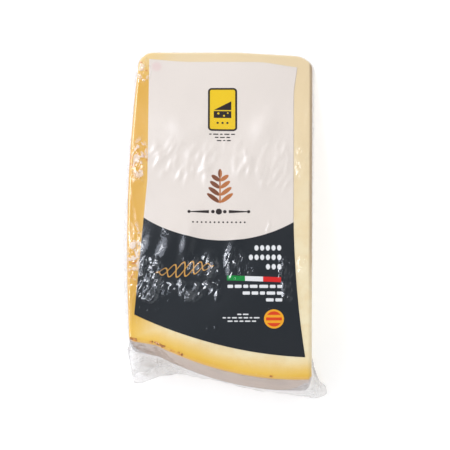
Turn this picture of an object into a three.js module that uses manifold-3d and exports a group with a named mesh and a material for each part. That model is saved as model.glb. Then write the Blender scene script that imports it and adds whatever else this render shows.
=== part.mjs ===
// A wedge of hard grana cheese, vacuum packed in a clear bag, with a printed label on its cut face.
// Millimetres, +Z up. The wedge lies on its lower cut face. The wheel's axis runs along X above the
// tip end (+Y), the rim is at -Y, the wheel's flat face is at -X and the halving cut is at +X.
import * as THREE from 'three';
import Module from 'manifold-3d';
import { mergeVertices } from 'three/addons/utils/BufferGeometryUtils.js';

// The wheel the wedge is cut from, and the wedge's place in the frame
const wheelRadius = 220.4; // from the axis to the rim, at the halving cut
const axisY = 116.9; // the wheel's axis, above the origin
const wedgeAngle = THREE.MathUtils.degToRad(20);
const barrelRadius = 209; // the rim's curve from face to face

// The wedge's outline in the cut plane: x across the wheel's height, r out from its axis
const tip = { radius: 10, left: -47, cornerLeft: -54, cornerRise: 8 };
const brokenCorner = { startX: 8, endX: 54, endRadius: 32, depth: 12.5 };
const halvingCut = { nearTip: 54, nearRim: 50.5, rimCorner: 6 };
const flatFace = { nearTip: -53.7, belly: -60.2, nearRim: -57, rimCorner: 7, rimCornerRadius: 189 };
const edgeRounding = 2.2; // all round both cut faces, under the tight film
const faceSwell = { height: 0.35, pitchX: 88, pitchR: 74 }; // slow unevenness of the upper cut face

// The bag's free film: how far it stands out past the wedge's foot, at stations round the outline.
// x and r name the outline point, reachX and reachY the film's reach from there.
const filmStations = [
  { x: -20, r: 10, reachX: 0, reachY: 0.1 },
  { x: -46, r: 10, reachX: -0.5, reachY: 0.1 },
  { x: -54, r: 19, reachX: -3.2, reachY: 0 }, // bunched ear by the tip
  { x: -56, r: 50, reachX: -1.4, reachY: 0 },
  { x: -58, r: 98, reachX: -3.1, reachY: 0 },
  { x: -58.3, r: 130, reachX: -4.2, reachY: 0 },
  { x: -57.5, r: 176, reachX: -4.3, reachY: 0 },
  { x: -57, r: 187, reachX: -2.4, reachY: -9 },
  { x: -55.5, r: 193, reachX: -2.4, reachY: -21.5 }, // loose flap at the rim's left end
  { x: -47, r: 198, reachX: -2, reachY: -17.5 },
  { x: -36, r: 203, reachX: 0.5, reachY: -9.5 },
  { x: -24, r: 207, reachX: 0, reachY: -3.2 },
  { x: 0, r: 214.5, reachX: 0, reachY: -2.6 },
  { x: 32, r: 219.8, reachX: 0.4, reachY: -2.6 },
  { x: 43, r: 220.2, reachX: 5, reachY: -3.5 },
  { x: 49, r: 219, reachX: 9, reachY: -4.2 }, // ear at the rim's right end
  { x: 50.5, r: 212, reachX: 12, reachY: -1.5 },
  { x: 51, r: 204, reachX: 6, reachY: 1 },
  { x: 51.8, r: 192, reachX: 1.8, reachY: 0 },
  { x: 53, r: 110, reachX: 1.3, reachY: 0 },
  { x: 54, r: 36, reachX: 1.2, reachY: 0 },
  { x: 38, r: 15, reachX: 0.4, reachY: 0.2 },
];
const film = {
  rootDepth: 3, // how far the free film starts inside the wedge
  rootThickness: 1.2,
  edgeThickness: 0.8,
  seamHeight: 0.24, // the seam's height, as a share of the wedge's height there
  lowest: 1.6, // the film's middle stays this far above the ground
  droop: 0.55, // how far a wide flap sinks, for each millimetre that it reaches
  waveHeight: 0.9,
  waveCount: 29,
};

// The label on the upper cut face, in the same x and r
const label = {
  gap: 0.3,
  thickness: 0.5,
  topLeft: 16.5,
  topRight: 19.9,
  leftUpper: -47.1,
  leftFlareFrom: 87, // below this radius the left edge leans out
  leftFlare: 0.0705,
  waistRadius: 122, // the right edge is furthest in here
  waist: 41.4,
  rightTaper: 0.036,
  rightFlare: 0.00079,
  rimGap: 14.6, // from the rim to the label's lower edge
};
// Bands where film and label are gathered into short wrinkles that run along r
const wrinkleBands = [
  { radius: 82, halfWidth: 13, height: 0.5, pitch: 13.5 },
  { radius: 156, halfWidth: 15, height: 0.5, pitch: 15 },
];

// Fineness of the faceted surfaces
const outlineSteps = 150;
const faceRings = [0.97, 0.88, 0.76, 0.6, 0.42, 0.22];
const labelSteps = { across: 24, along: 34 };

const wasm = await Module();
wasm.setup();

// A point at x and r in the cut plane that is turned up by angle, lifted square to that plane
function wheelPoint(x, r, angle, lift = 0) {
  const y = axisY - r * Math.cos(angle) + lift * Math.sin(angle);
  return new THREE.Vector3(x, y, r * Math.sin(angle) + lift * Math.cos(angle));
}

// The rim's radius across the wheel's height: an arc that is fullest at the halving cut
function rimRadiusAt(x) {
  const across = x - halvingCut.nearRim;
  return wheelRadius - barrelRadius + Math.sqrt(barrelRadius ** 2 - across ** 2);
}

// How far the upper cut face stands off its plane
function faceHeight(x, r) {
  const { height, pitchX, pitchR } = faceSwell;
  return height * Math.sin((2 * Math.PI * x) / pitchX + 0.6) * Math.sin((2 * Math.PI * r) / pitchR);
}

// The closed outline of the wedge in the cut plane
function wedgeOutline() {
  const path = new THREE.Path();
  const rimLeft = flatFace.nearRim + flatFace.rimCorner;
  const rimRight = halvingCut.nearRim - halvingCut.rimCorner;
  const middleRadius = (tip.radius + flatFace.rimCornerRadius) / 2;
  path.moveTo(tip.left, tip.radius);
  path.lineTo(brokenCorner.startX, tip.radius);
  path.bezierCurveTo(
    brokenCorner.endX - brokenCorner.depth * 1.4, tip.radius + 0.5,
    brokenCorner.endX, tip.radius + brokenCorner.depth * 0.55,
    brokenCorner.endX, brokenCorner.endRadius,
  );
  path.lineTo(halvingCut.nearRim, wheelRadius - halvingCut.rimCorner);
  path.quadraticCurveTo(halvingCut.nearRim, wheelRadius, rimRight, rimRadiusAt(rimRight));
  const rimSteps = 12;
  for (let step = 1; step <= rimSteps; step += 1) {
    const x = THREE.MathUtils.lerp(rimRight, rimLeft, step / rimSteps);
    path.lineTo(x, rimRadiusAt(x));
  }
  path.quadraticCurveTo(
    flatFace.nearRim, rimRadiusAt(flatFace.nearRim + 1),
    flatFace.nearRim, flatFace.rimCornerRadius,
  );
  path.quadraticCurveTo(flatFace.belly, middleRadius, flatFace.nearTip, tip.radius + tip.cornerRise);
  path.quadraticCurveTo(tip.cornerLeft, tip.radius, tip.left, tip.radius);
  return path;
}

// Evenly spaced outline points, each with its inward direction
function outlinePoints() {
  const points = wedgeOutline().getSpacedPoints(outlineSteps).slice(0, outlineSteps);
  return points.map((point, index) => {
    const before = points[(index + outlineSteps - 1) % outlineSteps];
    const after = points[(index + 1) % outlineSteps];
    const along = after.clone().sub(before).normalize();
    return { x: point.x, r: point.y, inX: -along.y, inR: along.x };
  });
}

// A closed body from rings of points, each ring as long as the last, with both ends filled to a point
function ringBody(rings, firstPole, lastPole) {
  const count = rings[0].length;
  const vertices = [...rings.flat(), firstPole, lastPole];
  const first = vertices.length - 2;
  const last = vertices.length - 1;
  const faces = [];
  for (let step = 0; step < count; step += 1) {
    const next = (step + 1) % count;
    faces.push(first, next, step);
    for (let ring = 0; ring + 1 < rings.length; ring += 1) {
      const low = ring * count;
      const high = low + count;
      faces.push(low + step, low + next, high + next, low + step, high + next, high + step);
    }
    const top = (rings.length - 1) * count;
    faces.push(top + step, top + next, last);
  }
  return closedGeometry(vertices, faces);
}

// A closed body of triangles, turned so that they face out
function closedGeometry(vertices, faces) {
  const [one, two, three] = [new THREE.Vector3(), new THREE.Vector3(), new THREE.Vector3()];
  let volume = 0;
  for (let face = 0; face < faces.length; face += 3) {
    one.copy(vertices[faces[face]]);
    two.copy(vertices[faces[face + 1]]);
    three.copy(vertices[faces[face + 2]]);
    volume += one.dot(two.cross(three));
  }
  const geometry = new THREE.BufferGeometry();
  const places = new Float32Array(vertices.flatMap((vertex) => vertex.toArray()));
  geometry.setAttribute('position', new THREE.BufferAttribute(places, 3));
  geometry.setIndex(volume < 0 ? faces.toReversed() : faces);
  return geometry;
}

// The wedge without its free film: two rounded cut faces and the walls between them
function wedgeGeometry() {
  const outline = outlinePoints();
  const round = edgeRounding;
  const walls = [
    { inset: round, height: 0 },
    { inset: round * 0.3, height: round * 0.3 },
    { inset: 0, height: round },
  ];
  const middles = [0.35, 0.65];
  const roomAt = (r) => Math.min(1, (r * wedgeAngle) / (3 * round)); // less rounding at the thin tip
  const ringAt = (inset, angleAt, liftAt) => outline.map((point) => {
    const room = roomAt(point.r);
    const x = point.x + point.inX * inset * room;
    const r = point.r + point.inR * inset * room;
    return wheelPoint(x, r, angleAt(r, room), liftAt(x, r));
  });
  const noLift = () => 0;
  const rings = [];
  for (const wall of walls) {
    rings.push(ringAt(wall.inset, (r, room) => (wall.height * room) / r, noLift));
  }
  for (const share of middles) rings.push(ringAt(0, () => wedgeAngle * share, noLift));
  for (const wall of [...walls].reverse()) {
    rings.push(ringAt(wall.inset, (r, room) => wedgeAngle - (wall.height * room) / r, faceHeight));
  }
  const centreX = (flatFace.nearRim + halvingCut.nearRim) / 2;
  const centreR = (wheelRadius + tip.radius) / 2;
  const inner = outline.map((point) => ({
    x: point.x + point.inX * round * roomAt(point.r),
    r: point.r + point.inR * round * roomAt(point.r),
  }));
  for (const share of faceRings) {
    rings.push(inner.map((point) => {
      const x = THREE.MathUtils.lerp(centreX, point.x, share);
      const r = THREE.MathUtils.lerp(centreR, point.r, share);
      return wheelPoint(x, r, wedgeAngle, faceHeight(x, r));
    }));
  }
  const underside = wheelPoint(centreX, centreR, 0);
  const facePole = wheelPoint(centreX, centreR, wedgeAngle, faceHeight(centreX, centreR));
  return ringBody(rings, underside, facePole);
}

// The film's reach at every outline point, eased from station to station
function filmReach(outline) {
  const nearest = (station) => {
    const gaps = outline.map((point) => Math.hypot(point.x - station.x, point.r - station.r));
    return gaps.indexOf(Math.min(...gaps));
  };
  const stops = filmStations.map((station) => ({ index: nearest(station), ...station }));
  stops.sort((one, other) => one.index - other.index);
  return outline.map((_, index) => {
    const after = stops.find((stop) => stop.index > index) ?? stops[0];
    const before = stops[(stops.indexOf(after) + stops.length - 1) % stops.length];
    const span = (after.index - before.index + outlineSteps) % outlineSteps;
    const share = ((index - before.index + outlineSteps) % outlineSteps) / span;
    const ease = THREE.MathUtils.smoothstep(share, 0, 1);
    return {
      x: THREE.MathUtils.lerp(before.reachX, after.reachX, ease),
      y: THREE.MathUtils.lerp(before.reachY, after.reachY, ease),
    };
  });
}

// The bag's free film as one wavy band round the wedge's foot, rooted inside the wedge
function filmGeometry() {
  const outline = outlinePoints();
  const reach = filmReach(outline);
  const shares = [0, 0.4, 0.7, 1];
  const sections = outline.map((point, index) => {
    const height = Math.max(film.lowest, point.r * Math.sin(wedgeAngle) * film.seamHeight);
    const lean = Math.asin(height / point.r);
    const room = Math.min(film.rootDepth, point.r * 0.3);
    const root = wheelPoint(point.x + point.inX * room, point.r + point.inR * room, 0);
    const foot = wheelPoint(point.x, point.r, lean);
    const tipX = foot.x + reach[index].x;
    const tipY = foot.y + reach[index].y;
    const length = Math.hypot(reach[index].x, reach[index].y);
    const wave = Math.sin((2 * Math.PI * film.waveCount * index) / outlineSteps);
    const upper = [];
    const lower = [];
    for (const share of shares) {
      const sink = Math.min(height - film.lowest, film.droop * length) * share;
      const free = THREE.MathUtils.smoothstep(share * length, 0.45 * length, length);
      const bend = film.waveHeight * wave * free * Math.min(1, length / 6);
      const z = Math.max(film.lowest, height - sink + bend);
      const thickness = THREE.MathUtils.lerp(film.rootThickness, film.edgeThickness, share);
      const x = THREE.MathUtils.lerp(root.x, tipX, share);
      const y = THREE.MathUtils.lerp(root.y, tipY, share);
      upper.push(new THREE.Vector3(x, y, z + thickness / 2));
      lower.push(new THREE.Vector3(x, y, z - thickness / 2));
    }
    return [...lower, ...upper.reverse()];
  });
  const width = sections[0].length;
  const faces = [];
  for (let section = 0; section < sections.length; section += 1) {
    const here = section * width;
    const there = ((section + 1) % sections.length) * width;
    for (let step = 0; step < width; step += 1) {
      const next = (step + 1) % width;
      faces.push(here + step, here + next, there + next, here + step, there + next, there + step);
    }
  }
  return closedGeometry(sections.flat(), faces);
}

// Exact union of two closed bodies that cross
function fused(one, other) {
  const [first, second] = [one, other].map((geometry) => {
    const merged = mergeVertices(geometry);
    return new wasm.Manifold(new wasm.Mesh({
      numProp: 3,
      vertProperties: new Float32Array(merged.attributes.position.array),
      triVerts: new Uint32Array(merged.index.array),
    }));
  });
  const mesh = first.add(second).getMesh();
  const geometry = new THREE.BufferGeometry();
  geometry.setAttribute('position', new THREE.BufferAttribute(mesh.vertProperties, 3));
  geometry.setIndex(new THREE.BufferAttribute(mesh.triVerts, 1));
  return geometry;
}

function labelLeft(r) {
  return label.leftUpper - label.leftFlare * Math.max(0, r - label.leftFlareFrom);
}

function labelRight(r) {
  const fromWaist = r - label.waistRadius;
  if (fromWaist < 0) return label.waist - label.rightTaper * fromWaist;
  return label.waist + label.rightFlare * fromWaist ** 2;
}

// Short ridges inside the gathered bands, never below the face
function wrinkleHeight(x, r) {
  let height = 0;
  for (const band of wrinkleBands) {
    const away = (r - band.radius) / band.halfWidth;
    const ridge = 0.5 + 0.5 * Math.sin((2 * Math.PI * x) / band.pitch + 1.3 * Math.sin(r / 9));
    height += band.height * ridge * Math.exp(-(away ** 2));
  }
  return height;
}

// The label: a thin wavy sheet that follows the upper cut face
function labelGeometry() {
  const { across, along } = labelSteps;
  const upper = [];
  const lower = [];
  for (let row = 0; row <= along; row += 1) {
    for (let column = 0; column <= across; column += 1) {
      const share = column / across;
      const guessX = THREE.MathUtils.lerp(labelLeft(180), labelRight(200), share);
      const top = THREE.MathUtils.lerp(label.topLeft, label.topRight, share);
      const bottom = rimRadiusAt(guessX) - label.rimGap;
      const r = THREE.MathUtils.lerp(top, bottom, row / along);
      const x = THREE.MathUtils.lerp(labelLeft(r), labelRight(r), share);
      const base = faceHeight(x, r) + label.gap + wrinkleHeight(x, r);
      lower.push(wheelPoint(x, r, wedgeAngle, base));
      upper.push(wheelPoint(x, r, wedgeAngle, base + label.thickness));
    }
  }
  const rowLength = across + 1;
  const at = (row, column) => row * rowLength + column;
  const over = upper.length;
  const faces = [];
  for (let row = 0; row < along; row += 1) {
    for (let column = 0; column < across; column += 1) {
      const [a, b] = [at(row, column), at(row, column + 1)];
      const [c, d] = [at(row + 1, column + 1), at(row + 1, column)];
      faces.push(a, c, b, a, d, c, over + a, over + b, over + c, over + a, over + c, over + d);
    }
  }
  const border = [];
  for (let column = 0; column < across; column += 1) border.push(at(0, column));
  for (let row = 0; row < along; row += 1) border.push(at(row, across));
  for (let column = across; column > 0; column -= 1) border.push(at(along, column));
  for (let row = along; row > 0; row -= 1) border.push(at(row, 0));
  border.forEach((here, index) => {
    const next = border[(index + 1) % border.length];
    faces.push(here, next, over + next, here, over + next, over + here);
  });
  return closedGeometry([...lower, ...upper], faces);
}

function named(name, geometry, color, roughness) {
  geometry.computeVertexNormals();
  const mesh = new THREE.Mesh(geometry, new THREE.MeshStandardMaterial({ color, roughness }));
  mesh.name = name;
  return mesh;
}

const group = new THREE.Group();
group.add(named('bagged_wedge', fused(wedgeGeometry(), filmGeometry()), 0xf0d69a, 0.25));
group.add(named('label', labelGeometry(), 0xe8e4df, 0.35));

export default group;
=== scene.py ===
# A vacuum-packed wedge of hard grana cheese, lying with its labelled cut face up.
import math

import bmesh
import bpy
import numpy as np
from mathutils import Matrix, Vector, noise


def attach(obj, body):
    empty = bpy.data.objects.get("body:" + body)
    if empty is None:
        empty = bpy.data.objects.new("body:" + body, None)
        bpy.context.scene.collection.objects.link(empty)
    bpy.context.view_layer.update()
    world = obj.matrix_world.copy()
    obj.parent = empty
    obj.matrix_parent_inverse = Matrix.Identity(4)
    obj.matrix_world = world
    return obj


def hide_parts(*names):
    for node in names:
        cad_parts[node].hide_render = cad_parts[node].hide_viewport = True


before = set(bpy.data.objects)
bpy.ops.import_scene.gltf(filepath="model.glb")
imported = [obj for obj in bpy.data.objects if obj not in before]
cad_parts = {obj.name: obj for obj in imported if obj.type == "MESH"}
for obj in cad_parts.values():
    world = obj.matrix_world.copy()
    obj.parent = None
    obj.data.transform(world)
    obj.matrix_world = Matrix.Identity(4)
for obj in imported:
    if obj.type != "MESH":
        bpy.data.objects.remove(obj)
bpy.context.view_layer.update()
mm = 0.001  # sizes below are in millimetres, the scene is in metres

# The wheel that the wedge is cut from. x runs across the wheel's height, r out from its axis.
wheel = {
    "axisY": 116.9,
    "rimPeak": 220.6,  # the rim's radius where it is fullest, and that place
    "rimPeakX": 42,
    "rimCurve": 163,  # the rim's curve from face to face
    "rimCorner": 197.2,  # the rim's radius beside the flat face, where it runs straight
    "rimCornerX": -54,
    "rimCornerSlope": 0.18,
    "footInset": 1.4,  # the rim leans in by this much towards its foot
    "wedgeAngle": math.radians(20),
    "tipRadius": 9.6,
    "tipSlopeFrom": 8,  # the tip's edge falls back from here
    "tipSlope": 0.06,
    "halvingNearTip": 54.3,  # x of the halving cut, a straight line between these two radii
    "halvingNearRim": 51.0,
    "halvingFrom": 32,
    "halvingTo": 214,
    "flatNearTip": -53.9,  # x of the flat face, a curve between these two radii
    "flatBelly": -61.5,
    "flatNearRim": -57.9,
    "flatFrom": 18,
    "flatTo": 189,
    "halfWidth": 55.0,  # the block that is bent to the wedge, roughly
    "halfLength": 104.0,
    "roughLength": 205.0,
    "edgeSteps": ((0.07, 0.045), (0.04, 0.025), (0.3, 0.12)),  # share of steps and of side at an edge
    "tipFlatCorner": (8.5, 9.0),  # radii of the upright edges, in x and in r
    "tipHalvingCorner": (12.0, 8.5),
    "rimCorners": 2.6,
    "swellHeight": 0.35,  # slow unevenness of the upper cut face
    "swellPitchX": 88,
    "swellPitchR": 74,
    "swellStart": 0.6,
}


class Wire:  # a node's output that works in sums like a number
    def __init__(self, socket):
        self.tree = socket.id_data
        self.socket = socket

    def __add__(self, other):
        return mathNode("ADD", self, other)

    def __sub__(self, other):
        return mathNode("SUBTRACT", self, other)

    def __rsub__(self, other):
        return mathNode("SUBTRACT", other, self)

    def __mul__(self, other):
        return mathNode("MULTIPLY", self, other)

    def __truediv__(self, other):
        return mathNode("DIVIDE", self, other)

    __radd__ = __add__
    __rmul__ = __mul__


def plug(socket, value):  # fills a socket from a wire, a node's first output or a plain value
    if isinstance(value, bpy.types.Node):
        value = Wire(value.outputs[0])
    if isinstance(value, Wire):
        value.tree.links.new(value.socket, socket)
    else:
        socket.default_value = value


def mathNode(operation, *values):
    tree = next(value.tree for value in values if isinstance(value, Wire))
    made = tree.nodes.new("ShaderNodeMath")
    made.operation = operation
    for socket, value in zip(made.inputs, values):
        plug(socket, value)
    return Wire(made.outputs[0])


def either(operation, arrayWay):  # a sum that works on wires and on arrays
    def work(*values):
        if any(isinstance(value, Wire) for value in values):
            return mathNode(operation, *values)
        return arrayWay(*values)

    return work


lower = either("MINIMUM", np.minimum)
higher = either("MAXIMUM", np.maximum)
absolute = either("ABSOLUTE", np.abs)
root = either("SQRT", np.sqrt)
sine = either("SINE", np.sin)
cosine = either("COSINE", np.cos)


def blend(low, high, share):
    return low + (high - low) * share


def between(value, low, high):
    return lower(higher(value, low), high)


def eased(value, start, end):  # 0 before start, 1 after end
    share = between((value - start) / (end - start), 0.0, 1.0)
    return share * share * (3.0 - 2.0 * share)


def rimRadiusAt(x):
    away = x - wheel["rimPeakX"]
    straight = (x - wheel["rimCornerX"]) * wheel["rimCornerSlope"] + wheel["rimCorner"]
    return higher(wheel["rimPeak"] - away * away / (2.0 * wheel["rimCurve"]), straight)


def tipRadiusAt(x):
    return higher(x - wheel["tipSlopeFrom"], 0.0) * wheel["tipSlope"] + wheel["tipRadius"]


def flatFaceAt(r):  # the wheel's flat face, a little dished towards its middle
    share = (wheel["flatTo"] - r) / (wheel["flatTo"] - wheel["flatFrom"])
    rest = 1.0 - share
    nearRim = rest * rest * wheel["flatNearRim"]
    belly = rest * share * 2.0 * wheel["flatBelly"]
    return nearRim + belly + share * share * wheel["flatNearTip"]


def halvingCutAt(r):
    reach = wheel["halvingTo"] - wheel["halvingFrom"]
    slope = (wheel["halvingNearRim"] - wheel["halvingNearTip"]) / reach
    return (r - wheel["halvingFrom"]) * slope + wheel["halvingNearTip"]


def faceHeight(x, r):
    acrossWave = sine(x * (2 * math.pi / wheel["swellPitchX"]) + wheel["swellStart"])
    alongWave = sine(r * (2 * math.pi / wheel["swellPitchR"]))
    return acrossWave * alongWave * wheel["swellHeight"]


def cornered(a, b, roundA, roundB):  # bends a square's corners to quarter rounds
    midA = between(a, roundA - 1.0, 1.0 - roundA)
    midB = between(b, roundB - 1.0, 1.0 - roundB)
    outA = (a - midA) / roundA
    outB = (b - midB) / roundB
    length = root(outA * outA + outB * outB + 0.000001)
    keep = higher(absolute(outA), absolute(outB)) / length
    return midA + outA * keep * roundA, midB + outB * keep * roundB


def sideShare(side):  # 0 to 1 along a side that runs from -1 to 1
    return (side + 1.0) * 0.5


def cornerRadius(a, b, way):
    tip = blend(wheel["tipFlatCorner"][way], wheel["tipHalvingCorner"][way], sideShare(a))
    return blend(tip, wheel["rimCorners"], sideShare(b))


def roughRadius(b):
    return sideShare(b) * wheel["roughLength"] + wheel["tipRadius"]


def planPoint(a, b, grow):  # a from the flat face (-1) to the halving cut (1), b from tip to rim
    roundA = cornerRadius(a, b, 0) / wheel["halfWidth"]
    roundB = cornerRadius(a, b, 1) / wheel["halfLength"]
    a, b = cornered(a, b, roundA, roundB)
    roughR = roughRadius(b)
    x = blend(flatFaceAt(roughR) - grow, halvingCutAt(roughR) + grow, sideShare(a))
    r = blend(tipRadiusAt(x) - grow, rimRadiusAt(x) + grow, sideShare(b))
    return x, r


def wheelPoint(x, r, angle, lift=0.0):  # a point of the cut plane turned up by angle
    y = wheel["axisY"] - r * cosine(angle) + lift * sine(angle)
    z = r * sine(angle) + lift * cosine(angle)
    return x, y, z


def newTree(name, kind, inputs, output):  # an input is given by its value, or else by its socket type
    tree = bpy.data.node_groups.new(name, kind)
    for label, value in inputs.items():
        valueType = {int: "NodeSocketInt", float: "NodeSocketFloat"}.get(type(value), value)
        socket = tree.interface.new_socket(label, in_out="INPUT", socket_type=valueType)
        if valueType != value:
            socket.default_value = value
    tree.interface.new_socket(output[0], in_out="OUTPUT", socket_type=output[1])
    given = {socket.name: Wire(socket) for socket in tree.nodes.new("NodeGroupInput").outputs if socket.name}
    return tree, given, tree.nodes.new("NodeGroupOutput").inputs[0]


def node(tree, kind, settings=None, **values):  # a node with its named inputs filled
    made = tree.nodes.new(kind)
    for name, value in (settings or {}).items():
        setattr(made, name, value)
    for name, value in values.items():
        plug(made.inputs[name.replace("_", " ")], value)
    return made


def source(tree, kind, output=0):  # what a node without inputs gives
    return Wire(tree.nodes.new(kind).outputs[output])


def addNoise(place, scale, **values):
    values = {"Detail": 3.0, "Roughness": 0.55, **values}
    return Wire(node(place.tree, "ShaderNodeTexNoise", Vector=place, Scale=scale, **values).outputs[0])


def splitXyz(vector):
    return [Wire(socket) for socket in node(vector.tree, "ShaderNodeSeparateXYZ", Vector=vector).outputs]


def joinXyz(x, y, z):
    return Wire(node(x.tree, "ShaderNodeCombineXYZ", X=x, Y=y, Z=z).outputs[0])


def crowded(side, steps, edge):  # moves the outer steps of a side into its last stretch, edge long
    outer = steps / edge
    inner = (1.0 - edge) / (1.0 - steps)
    reach = absolute(side)
    moved = lower(reach * inner, 1.0 - (1.0 - reach) / outer)
    return side / higher(reach, 0.0001) * moved


def bentBlock(tree, given):  # a block with rounded edges, bent to the wedge
    block = node(tree, "GeometryNodeMeshCube", Size=(2.0, 2.0, 2.0))
    for axis, steps in zip("XYZ", ("Steps Across", "Steps Along", "Steps Up")):
        plug(block.inputs["Vertices " + axis], given[steps])
    sides = splitXyz(source(tree, "GeometryNodeInputPosition"))
    sides = [crowded(side, *shares) for side, shares in zip(sides, wheel["edgeSteps"])]
    halfThick = roughRadius(sides[1]) * (wheel["wedgeAngle"] / 2)
    edge = given["Edge Radius"]
    rounds = [edge / wheel["halfWidth"], edge / wheel["halfLength"], lower(edge / halfThick, 0.8)]
    mids = [between(side, k - 1.0, 1.0 - k) for side, k in zip(sides, rounds)]
    outs = [(side - mid) / k for side, mid, k in zip(sides, mids, rounds)]
    length = root(sum(out * out for out in outs))
    a, b, c = [mid + out / length * k for mid, out, k in zip(mids, outs, rounds)]
    x, r = planPoint(a, b, given["Grow"])
    share = sideShare(c)
    r = r - (1.0 - share) * eased(b, 0.6, 1.0) * wheel["footInset"]
    lift = faceHeight(x, r) * eased(c, 0.2, 1.0) + c * given["Grow"]
    x, y, z = wheelPoint(x, r, share * wheel["wedgeAngle"], lift)
    bent = joinXyz(x * mm, y * mm, z * mm)
    moved = node(tree, "GeometryNodeSetPosition", Geometry=block, Position=bent)
    # x, r and z are a left-handed frame, so the warp turns the block inside out
    return node(tree, "GeometryNodeFlipFaces", Mesh=moved)


relief = {
    "middle": 0.35,  # the bumps' height that stays where it is
    "foldScale": 180.0,
    "foldStretch": 0.2,  # folds run up and down the walls
    "foldFrom": 0.42,
    "foldTo": 0.75,
    "flatFoot": (0.0005, 0.004),  # the underside stays flat up to here, in metres
}


def roughened(tree, given, shape):  # small bumps all over, and the film's folds on the walls
    normal = source(tree, "GeometryNodeInputNormal")
    seat = source(tree, "GeometryNodeInputPosition")
    shifted = node(tree, "ShaderNodeVectorMath", {"operation": "ADD"})
    plug(shifted.inputs[0], seat)
    plug(shifted.inputs[1], joinXyz(given["Seed"], given["Seed"], given["Seed"]))
    bumps = addNoise(Wire(shifted.outputs[0]), given["Relief Scale"], Detail=4.0)
    bumps = (bumps - relief["middle"]) * given["Relief"]
    x, y, z = splitXyz(seat)
    hanging = joinXyz(x, y, z * relief["foldStretch"])
    drapes = addNoise(hanging, relief["foldScale"], Detail=2.0, Distortion=0.6)
    upright = 1.0 - eased(absolute(splitXyz(normal)[2]), 0.2, 0.7)  # 1 on the walls, 0 on the faces
    drapes = eased(drapes, relief["foldFrom"], relief["foldTo"]) * upright * given["Folds"]
    push = node(tree, "ShaderNodeVectorMath", {"operation": "SCALE"})
    plug(push.inputs[0], normal)
    plug(push.inputs["Scale"], (bumps + drapes) * eased(z, *relief["flatFoot"]) * mm)
    return node(tree, "GeometryNodeSetPosition", Geometry=shape, Offset=push)


def wedgeTree():
    inputs = {
        "Steps Across": 100, "Steps Along": 180, "Steps Up": 24, "Grow": 0.0, "Edge Radius": 2.2,
        "Relief": 0.1, "Relief Scale": 60.0, "Folds": 0.0, "Seed": 0.0, "Material": "NodeSocketMaterial",
    }
    output = ("Geometry", "NodeSocketGeometry")
    tree, given, end = newTree("wheelWedge", "GeometryNodeTree", inputs, output)
    rough = roughened(tree, given, bentBlock(tree, given))
    smooth = node(tree, "GeometryNodeSetShadeSmooth", Geometry=rough)
    whole = node(tree, "GeometryNodeRealizeInstances", Geometry=smooth)
    coated = node(tree, "GeometryNodeSetMaterial", Geometry=whole, Material=given["Material"])
    plug(end, coated)
    return tree


def placed(name, data):
    data.name = name
    piece = bpy.data.objects.new(name, data)
    bpy.context.scene.collection.objects.link(piece)
    return piece


def grown(name, tree, shape, material):  # runs a geometry tree and keeps its plain mesh
    values = {**shape, "Material": material}
    holder = placed(name + "Maker", bpy.data.meshes.new(name + "Maker"))
    modifier = holder.modifiers.new("shape", "NODES")
    modifier.node_group = tree
    for item in tree.interface.items_tree:
        if item.in_out == "INPUT" and item.name in values:
            modifier[item.identifier] = values[item.name]
    evaluated = holder.evaluated_get(bpy.context.evaluated_depsgraph_get())
    mesh = bpy.data.meshes.new_from_object(evaluated)
    bpy.data.objects.remove(holder)
    return placed(name, mesh)


def gridFaces(rows, columns, closed):  # quads between rows of points
    faces = []
    for row in range(rows - 1):
        for column in range(columns if closed else columns - 1):
            here = row * columns + column
            there = row * columns + (column + 1) % columns
            faces.append((here, there, there + columns, here + columns))
    return faces


def sheetPiece(name, places, faces, material, thickness, offset):
    mesh = bpy.data.meshes.new(name)
    mesh.from_pydata((places * mm).tolist(), [], faces)
    mesh.materials.append(material)
    mesh.shade_smooth()
    piece = placed(name, mesh)
    solid = piece.modifiers.new("thickness", "SOLIDIFY")
    solid.thickness = thickness * mm
    solid.offset = offset
    return piece


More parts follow.
